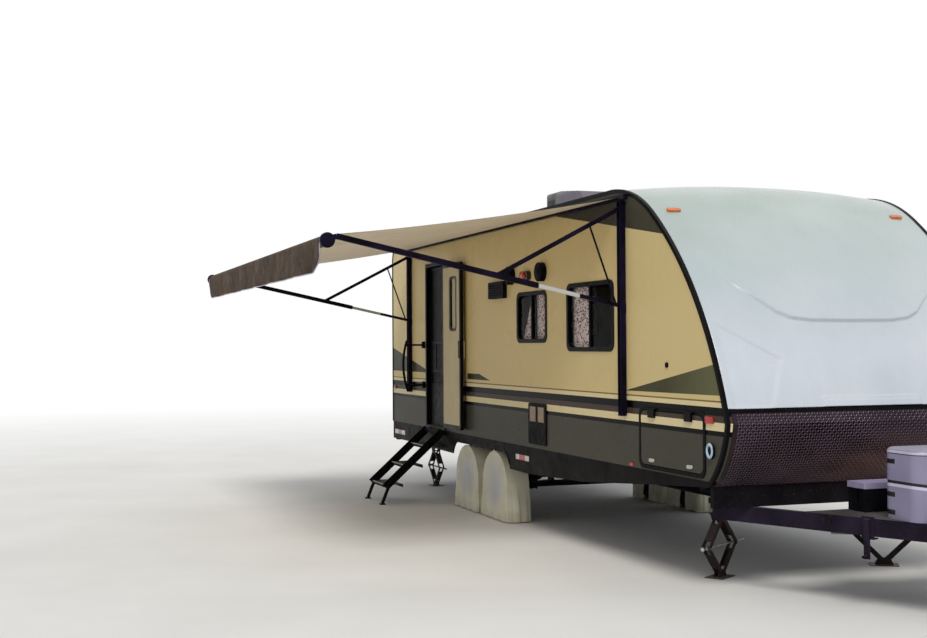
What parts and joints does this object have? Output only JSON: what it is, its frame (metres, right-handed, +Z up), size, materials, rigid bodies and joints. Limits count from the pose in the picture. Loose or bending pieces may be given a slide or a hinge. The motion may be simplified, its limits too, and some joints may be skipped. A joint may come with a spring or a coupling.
{
  "type": "travel caravan",
  "caption": "Tandem-axle towed caravan with a curved front, side awning on folding arms, entry door, steps and jacks.",
  "frame": {"origin": "centre of the ball socket in the coupler at the front end of the drawbar", "axes": "+X forward along the drawbar, +Y to the vehicle's left, +Z up"},
  "size_m": [9.98, 4.964, 3.4372],
  "materials": {
    "wall_gelcoat": "glossy panel with painted stripes",
    "cap_gelcoat": "polished moulding",
    "plate_metal": "embossed sheet, satin",
    "roof_skin": "matt membrane",
    "floor_board": "board",
    "black_trim": "satin black",
    "black_plastic": "satin black",
    "window_glass": "tinted",
    "curtain_cloth": "printed cloth",
    "bed_board": "board",
    "frame_paint": "satin black paint",
    "underbelly_sheet": "matt",
    "spring_steel": "matt black",
    "jack_steel": "worn black paint",
    "bright_steel": "brushed",
    "gas_cover_plastic": "smooth moulding",
    "wheel_rubber": "tyre on a pressed rim",
    "cover_cloth": "coated cloth",
    "awning_cloth": "coated cloth",
    "roller_metal": "coated",
    "lamp_lens": "moulded lens",
    "step_metal": "satin black with light treads"
  },
  "bodies": {
    "root": {"right_wall": "wall_gelcoat", "left_wall": "wall_gelcoat", "roof": "roof_skin", "rear_wall": "wall_gelcoat", "front_cap": "cap_gelcoat", "front_plate": "plate_metal", "floor": "floor_board", "window_frames": "black_plastic", "window_glass": "window_glass", "curtains": "curtain_cloth", "edge_trims": "black_trim", "bed_box": "bed_board", "door_frame": "black_trim", "baggage_door_frames": "black_trim", "chassis_rails": "frame_paint", "frame_ribs": "frame_paint", "wall_fittings": "black_plastic", "lamps": "lamp_lens", "underbelly": "underbelly_sheet", "drawbar": "frame_paint", "drawbar_plates": "frame_paint", "coupler": "frame_paint", "gas_cover": "gas_cover_plastic", "battery_box": "black_plastic", "tongue_jack_housing": "frame_paint", "skirts": "black_trim", "rear_bumper": "frame_paint", "axles": "spring_steel", "leaf_springs": "spring_steel", "wheel_covers": "cover_cloth", "awning_channels": "black_trim", "awning_arms": "black_trim", "awning_roller": "roller_metal", "awning_fabric": "awning_cloth", "air_conditioner": "black_plastic", "roof_vents": "roof_skin", "entry_steps": "step_metal", "grab_handle": "black_trim", "fixed_jack_pieces": "jack_steel"},
    "wheel_front_right": {"wheel_front_right": "wheel_rubber"},
    "wheel_rear_right": {"wheel_rear_right": "wheel_rubber"},
    "wheel_front_left": {"wheel_front_left": "wheel_rubber"},
    "wheel_rear_left": {"wheel_rear_left": "wheel_rubber"},
    "entry_door": {"entry_door": "wall_gelcoat"},
    "screen_door": {"screen_door": "black_trim"},
    "baggage_door_right": {"baggage_door_right": "wall_gelcoat"},
    "baggage_door_left": {"baggage_door_left": "wall_gelcoat"},
    "tongue_jack_leg": {"tongue_jack_leg": "bright_steel"},
    "jack_front_right_upper_outer": {"jack_front_right_upper_outer": "jack_steel"},
    "jack_front_right_lower_outer": {"jack_front_right_lower_outer": "jack_steel"},
    "jack_front_right_foot": {"jack_front_right_foot": "jack_steel"},
    "jack_front_right_screw": {"jack_front_right_screw": "jack_steel"},
    "jack_front_right_upper_inner": {"jack_front_right_upper_inner": "jack_steel"},
    "jack_front_right_lower_inner": {"jack_front_right_lower_inner": "jack_steel"},
    "jack_front_left_upper_outer": {"jack_front_left_upper_outer": "jack_steel"},
    "jack_front_left_lower_outer": {"jack_front_left_lower_outer": "jack_steel"},
    "jack_front_left_foot": {"jack_front_left_foot": "jack_steel"},
    "jack_front_left_screw": {"jack_front_left_screw": "jack_steel"},
    "jack_front_left_upper_inner": {"jack_front_left_upper_inner": "jack_steel"},
    "jack_front_left_lower_inner": {"jack_front_left_lower_inner": "jack_steel"}
  },
  "joints": [
    {"name": "wheel_front_right_spin", "type": "hinge", "parent": "root", "child": "wheel_front_right", "pos_m": [-6.11, -1.087, -0.215], "axis": [0, 1, 0], "continuous": true},
    {"name": "wheel_rear_right_spin", "type": "hinge", "parent": "root", "child": "wheel_rear_right", "pos_m": [-6.96, -1.087, -0.215], "axis": [0, 1, 0], "continuous": true},
    {"name": "wheel_front_left_spin", "type": "hinge", "parent": "root", "child": "wheel_front_left", "pos_m": [-6.11, 1.087, -0.215], "axis": [0, 1, 0], "continuous": true},
    {"name": "wheel_rear_left_spin", "type": "hinge", "parent": "root", "child": "wheel_rear_left", "pos_m": [-6.96, 1.087, -0.215], "axis": [0, 1, 0], "continuous": true},
    {"name": "entry_door_swing", "type": "hinge", "parent": "root", "child": "entry_door", "pos_m": [-7.62, -1.245, 1.215], "axis": [0, 0, -1], "range_deg": [0, 180]},
    {"name": "screen_door_swing", "type": "hinge", "parent": "root", "child": "screen_door", "pos_m": [-7.62, -1.245, 1.215], "axis": [0, 0, -1], "range_deg": [-180, 0]},
    {"name": "baggage_door_right_lift", "type": "hinge", "parent": "root", "child": "baggage_door_right", "pos_m": [-2.305, -1.24, 0.729], "axis": [1, 0, 0], "range_deg": [-100, 0]},
    {"name": "baggage_door_left_lift", "type": "hinge", "parent": "root", "child": "baggage_door_left", "pos_m": [-2.305, 1.24, 0.729], "axis": [-1, 0, 0], "range_deg": [-100, 0]},
    {"name": "tongue_jack_travel", "type": "slide", "parent": "root", "child": "tongue_jack_leg", "axis": [0, 0, 1], "range_m": [0, 0.3]},
    {"name": "jack_front_right_upper_outer_turn", "type": "hinge", "parent": "root", "child": "jack_front_right_upper_outer", "pos_m": [-2.40693, -0.77013, -0.12], "axis": [-0.8387, -0.5446, 0], "range_deg": [0, 36]},
    {"name": "jack_front_right_lower_outer_turn", "type": "hinge", "parent": "jack_front_right_upper_outer", "child": "jack_front_right_lower_outer", "pos_m": [-2.29856, -0.937, -0.317], "axis": [0.8387, 0.5446, 0], "range_deg": [0, 72]},
    {"name": "jack_front_right_foot_turn", "type": "hinge", "parent": "jack_front_right_lower_outer", "child": "jack_front_right_foot", "pos_m": [-2.40693, -0.77013, -0.514], "axis": [-0.8387, -0.5446, 0], "range_deg": [0, 36]},
    {"name": "jack_front_right_screw_turn", "type": "hinge", "parent": "jack_front_right_upper_outer", "child": "jack_front_right_screw", "pos_m": [-2.29856, -0.937, -0.317], "axis": [0.8387, 0.5446, 0], "range_deg": [0, 36]},
    {"name": "jack_front_right_upper_inner_turn", "type": "hinge", "parent": "root", "child": "jack_front_right_upper_inner", "pos_m": [-2.43307, -0.72987, -0.12], "axis": [0.8387, 0.5446, 0], "range_deg": [0, 36]},
    {"name": "jack_front_right_lower_inner_turn", "type": "hinge", "parent": "jack_front_right_upper_inner", "child": "jack_front_right_lower_inner", "pos_m": [-2.54144, -0.563, -0.317], "axis": [-0.8387, -0.5446, 0], "range_deg": [0, 72]},
    {"name": "jack_front_left_upper_outer_turn", "type": "hinge", "parent": "root", "child": "jack_front_left_upper_outer", "pos_m": [-2.40693, 0.77013, -0.12], "axis": [0.8387, -0.5446, 0], "range_deg": [0, 36]},
    {"name": "jack_front_left_lower_outer_turn", "type": "hinge", "parent": "jack_front_left_upper_outer", "child": "jack_front_left_lower_outer", "pos_m": [-2.29856, 0.937, -0.317], "axis": [-0.8387, 0.5446, 0], "range_deg": [0, 72]},
    {"name": "jack_front_left_foot_turn", "type": "hinge", "parent": "jack_front_left_lower_outer", "child": "jack_front_left_foot", "pos_m": [-2.40693, 0.77013, -0.514], "axis": [0.8387, -0.5446, 0], "range_deg": [0, 36]},
    {"name": "jack_front_left_screw_turn", "type": "hinge", "parent": "jack_front_left_upper_outer", "child": "jack_front_left_screw", "pos_m": [-2.29856, 0.937, -0.317], "axis": [-0.8387, 0.5446, 0], "range_deg": [0, 36]},
    {"name": "jack_front_left_upper_inner_turn", "type": "hinge", "parent": "root", "child": "jack_front_left_upper_inner", "pos_m": [-2.43307, 0.72987, -0.12], "axis": [-0.8387, 0.5446, 0], "range_deg": [0, 36]},
    {"name": "jack_front_left_lower_inner_turn", "type": "hinge", "parent": "jack_front_left_upper_inner", "child": "jack_front_left_lower_inner", "pos_m": [-2.54144, 0.563, -0.317], "axis": [0.8387, -0.5446, 0], "range_deg": [0, 72]}
  ],
  "couplings": [
    {"joint": "jack_front_right_lower_outer_turn", "follows": "jack_front_right_upper_outer_turn", "ratio": 2},
    {"joint": "jack_front_right_foot_turn", "follows": "jack_front_right_upper_outer_turn", "ratio": 1},
    {"joint": "jack_front_right_screw_turn", "follows": "jack_front_right_upper_outer_turn", "ratio": 1},
    {"joint": "jack_front_right_upper_inner_turn", "follows": "jack_front_right_upper_outer_turn", "ratio": 1},
    {"joint": "jack_front_right_lower_inner_turn", "follows": "jack_front_right_upper_outer_turn", "ratio": 2},
    {"joint": "jack_front_left_lower_outer_turn", "follows": "jack_front_left_upper_outer_turn", "ratio": 2},
    {"joint": "jack_front_left_foot_turn", "follows": "jack_front_left_upper_outer_turn", "ratio": 1},
    {"joint": "jack_front_left_screw_turn", "follows": "jack_front_left_upper_outer_turn", "ratio": 1},
    {"joint": "jack_front_left_upper_inner_turn", "follows": "jack_front_left_upper_outer_turn", "ratio": 1},
    {"joint": "jack_front_left_lower_inner_turn", "follows": "jack_front_left_upper_outer_turn", "ratio": 2}
  ]
}
